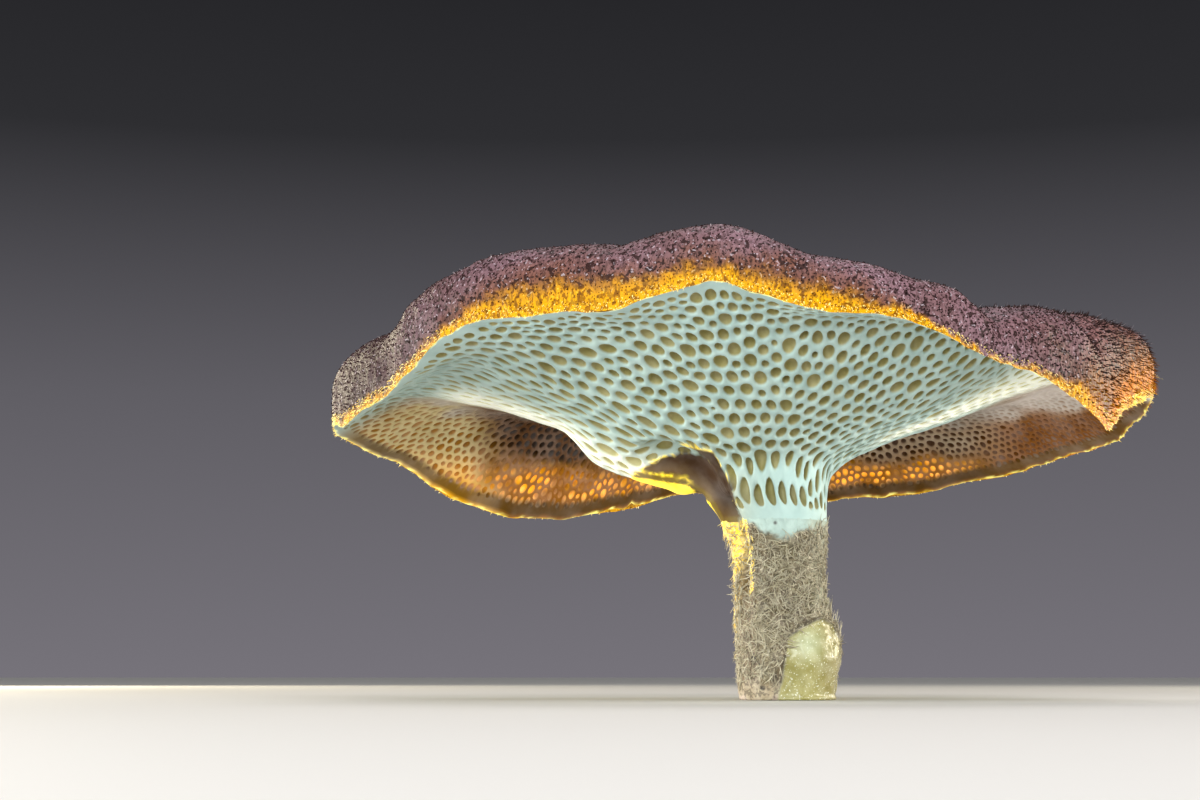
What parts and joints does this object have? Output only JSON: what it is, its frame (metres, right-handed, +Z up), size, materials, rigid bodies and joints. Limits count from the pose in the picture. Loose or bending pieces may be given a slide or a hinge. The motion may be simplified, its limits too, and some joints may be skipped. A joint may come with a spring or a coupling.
{
  "type": "winter polypore mushroom",
  "caption": "Small pored mushroom with a wavy brown bristly cap rolled down at its edge, a pale honeycomb underside running down onto a furrowed felted stem cut off flat.",
  "frame": {"origin": "middle of the flat cut at the foot of the stem", "axes": "+Z up along the stem, +X to the right and +Y away from someone who faces the side with the raised cap edge"},
  "size_m": [0.0362, 0.0308, 0.0178],
  "materials": {
    "cap": "matte",
    "stem": "matte"
  },
  "bodies": {
    "root": {"cap": "cap", "stem": "stem"}
  },
  "joints": []
}
